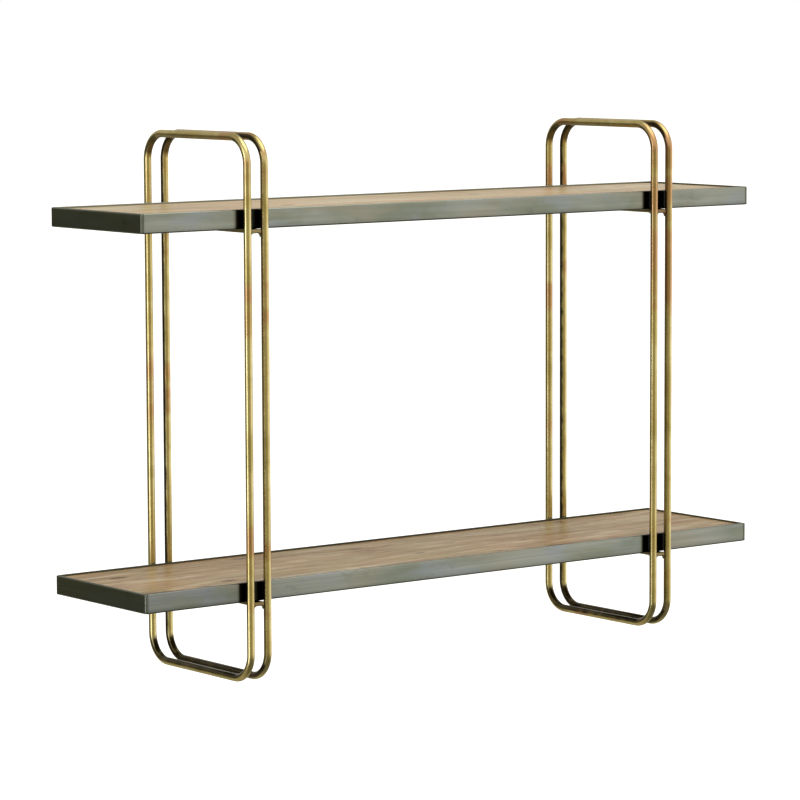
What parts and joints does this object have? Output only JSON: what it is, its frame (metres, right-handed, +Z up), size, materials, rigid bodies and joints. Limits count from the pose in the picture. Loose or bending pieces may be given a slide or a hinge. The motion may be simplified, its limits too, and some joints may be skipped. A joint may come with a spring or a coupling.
{
  "type": "wall shelf",
  "caption": "Wall shelf of wood boards inset in steel angle frames, carried on straps between paired closed loops of round rod that stand against the wall.",
  "frame": {"origin": "on the wall plane, midway between the two brackets, level with the underside of the upper shelf", "axes": "+X along the shelf to the right as seen from the room, +Y into the wall, +Z up"},
  "size_m": [1, 0.23, 0.69],
  "materials": {
    "antique_brass": "aged antique brass on round rod, satin with darker tint in patches",
    "patinated_steel": "grey patinated steel, brushed along its length, clouded",
    "oak": "weathered light timber, matt, with open grain and small knots",
    "zinc_screw": "zinc-plated pan-head wood screws"
  },
  "bodies": {
    "root": {"left_outer_loop": "antique_brass", "left_inner_loop": "antique_brass", "right_inner_loop": "antique_brass", "right_outer_loop": "antique_brass", "upper_left_strap": "antique_brass", "upper_right_strap": "antique_brass", "lower_left_strap": "antique_brass", "lower_right_strap": "antique_brass", "left_keyhole_plate": "antique_brass", "right_keyhole_plate": "antique_brass", "left_wall_tab": "antique_brass", "right_wall_tab": "antique_brass", "upper_front_rail": "patinated_steel", "upper_rear_rail": "patinated_steel", "upper_left_rail": "patinated_steel", "upper_right_rail": "patinated_steel", "lower_front_rail": "patinated_steel", "lower_rear_rail": "patinated_steel", "lower_left_rail": "patinated_steel", "lower_right_rail": "patinated_steel", "upper_board": "oak", "lower_board": "oak", "upper_board_screws": "zinc_screw", "lower_board_screws": "zinc_screw"}
  },
  "joints": []
}
